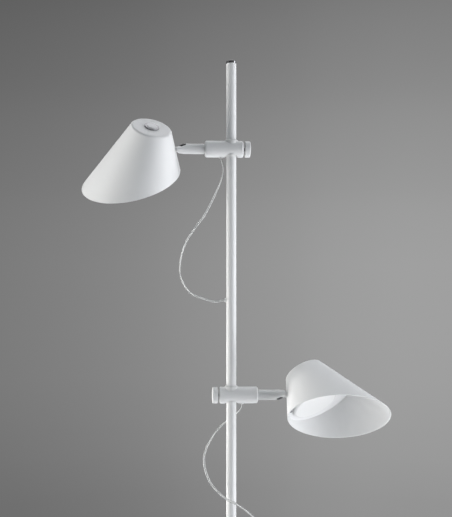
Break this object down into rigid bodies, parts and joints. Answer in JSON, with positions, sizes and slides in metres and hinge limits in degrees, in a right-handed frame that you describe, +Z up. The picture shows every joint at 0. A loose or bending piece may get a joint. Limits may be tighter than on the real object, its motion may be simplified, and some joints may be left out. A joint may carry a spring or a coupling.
{
  "type": "two-head floor lamp",
  "caption": "Slim white floor lamp: a round pole on a weighted disc base carries adjustable heads with slanted cone shades on clamps that slide, turn and swivel.",
  "frame": {"origin": "on the floor under the centre of the pole", "axes": "+Z up along the pole; the upper head's stalk points to -X and the lower head's to +X; -Y faces the viewer of the picture"},
  "size_m": [0.4974, 0.2815, 1.5],
  "materials": {
    "white_paint": "matte",
    "plate_paint": "matte",
    "cap_metal": "polished",
    "weight_iron": "matte",
    "black_rubber": "matte",
    "plain_steel": "satin",
    "dark_steel": "satin",
    "white_plastic": "satin",
    "black_nylon": "satin",
    "button_plastic": "gloss",
    "opal_plastic": "satin",
    "clear_cord": "gloss"
  },
  "bodies": {
    "stand": {"base_pad": "black_rubber", "base_weight": "weight_iron", "base_cover": "white_paint", "base_collar": "white_paint", "base_outlet": "white_plastic", "pole_bolt": "plain_steel", "pole_foot": "plain_steel", "pole_lower": "white_paint", "pole_joint": "plain_steel", "pole_upper": "white_paint", "pole_cap": "cap_metal", "upper_grommet": "white_plastic", "lower_grommet": "white_plastic"},
    "upper_slider": {"upper_bush": "white_plastic"},
    "upper_clamp": {"upper_clamp_body": "white_paint", "upper_cord_gland": "white_plastic", "upper_cord": "clear_cord"},
    "upper_pad": {"upper_clamp_pad": "white_plastic"},
    "upper_knob": {"upper_clamp_screw": "dark_steel", "upper_clamp_knob": "white_paint"},
    "upper_arm": {"upper_stalk": "white_paint", "upper_slot_guide": "black_nylon", "upper_pivot_screw": "dark_steel"},
    "upper_head": {"upper_bracket": "white_paint", "upper_shade": "white_paint", "upper_switch_ring": "dark_steel", "upper_switch_body": "black_nylon", "upper_switch_nut": "plain_steel", "upper_lamp_strap": "plain_steel", "upper_lampholder": "white_plastic", "upper_lamp": "white_plastic", "upper_lamp_face": "opal_plastic", "upper_plate": "plate_paint", "upper_plate_screw": "dark_steel"},
    "upper_button": {"upper_switch_button": "button_plastic"},
    "lower_slider": {"lower_bush": "white_plastic"},
    "lower_clamp": {"lower_clamp_body": "white_paint", "lower_cord_gland": "white_plastic", "lower_cord": "clear_cord"},
    "lower_pad": {"lower_clamp_pad": "white_plastic"},
    "lower_knob": {"lower_clamp_screw": "dark_steel", "lower_clamp_knob": "white_paint"},
    "lower_arm": {"lower_stalk": "white_paint", "lower_slot_guide": "black_nylon", "lower_pivot_screw": "dark_steel"},
    "lower_head": {"lower_bracket": "white_paint", "lower_shade": "white_paint", "lower_switch_ring": "dark_steel", "lower_switch_body": "black_nylon", "lower_switch_nut": "plain_steel", "lower_lamp_strap": "plain_steel", "lower_lampholder": "white_plastic", "lower_lamp": "white_plastic", "lower_lamp_face": "opal_plastic", "lower_plate": "plate_paint", "lower_plate_screw": "dark_steel"},
    "lower_button": {"lower_switch_button": "button_plastic"}
  },
  "joints": [
    {"name": "upper_slide", "type": "slide", "parent": "stand", "child": "upper_slider", "axis": [0, 0, 1], "range_m": [-0.2, 0.06], "deforming": ["upper_cord"]},
    {"name": "upper_turn", "type": "hinge", "parent": "upper_slider", "child": "upper_clamp", "pos_m": [0, 0, 1.358], "axis": [0, 0, 1], "range_deg": [-150, 150], "deforming": ["upper_cord"]},
    {"name": "upper_pad_press", "type": "slide", "parent": "upper_clamp", "child": "upper_pad", "axis": [0.9969, 0.0785, 0], "range_m": [0, 0.0006]},
    {"name": "upper_knob_turn", "type": "hinge", "parent": "upper_pad", "child": "upper_knob", "pos_m": [0, 0, 1.358], "axis": [0.9969, 0.0785, 0], "range_deg": [0, 270]},
    {"name": "upper_swivel", "type": "hinge", "parent": "upper_clamp", "child": "upper_arm", "pos_m": [0, 0, 1.358], "axis": [-0.9969, -0.0785, 0], "range_deg": [-160, 160]},
    {"name": "upper_tilt", "type": "hinge", "parent": "upper_arm", "child": "upper_head", "pos_m": [-0.08175, -0.00643, 1.358], "axis": [-0.0646, 0.8206, 0.5678], "range_deg": [-55, 70]},
    {"name": "upper_press", "type": "slide", "parent": "upper_head", "child": "upper_button", "axis": [-0.2475, 0.5381, -0.8057], "range_m": [0, 0.0015], "stiffness_N_per_m": 400},
    {"name": "lower_slide", "type": "slide", "parent": "stand", "child": "lower_slider", "axis": [0, 0, 1], "range_m": [-0.2, 0.06], "deforming": ["lower_cord"]},
    {"name": "lower_turn", "type": "hinge", "parent": "lower_slider", "child": "lower_clamp", "pos_m": [0, 0, 0.963], "axis": [0, 0, 1], "range_deg": [-150, 150], "deforming": ["lower_cord"]},
    {"name": "lower_pad_press", "type": "slide", "parent": "lower_clamp", "child": "lower_pad", "axis": [-0.999, -0.0454, 0], "range_m": [0, 0.0006]},
    {"name": "lower_knob_turn", "type": "hinge", "parent": "lower_pad", "child": "lower_knob", "pos_m": [0, 0, 0.963], "axis": [-0.999, -0.0454, 0], "range_deg": [0, 270]},
    {"name": "lower_swivel", "type": "hinge", "parent": "lower_clamp", "child": "lower_arm", "pos_m": [0, 0, 0.963], "axis": [0.999, 0.0454, 0], "range_deg": [-160, 160]},
    {"name": "lower_tilt", "type": "hinge", "parent": "lower_arm", "child": "lower_head", "pos_m": [0.08192, 0.00372, 0.963], "axis": [0.0359, -0.7915, 0.6101], "range_deg": [-65, 60]},
    {"name": "lower_press", "type": "slide", "parent": "lower_head", "child": "lower_button", "axis": [0.3983, -0.5486, -0.7351], "range_m": [0, 0.0015], "stiffness_N_per_m": 400}
  ],
  "couplings": [
    {"joint": "upper_knob_turn", "follows": "upper_pad_press", "rad_per_m": 7854},
    {"joint": "lower_knob_turn", "follows": "lower_pad_press", "rad_per_m": 7854}
  ]
}
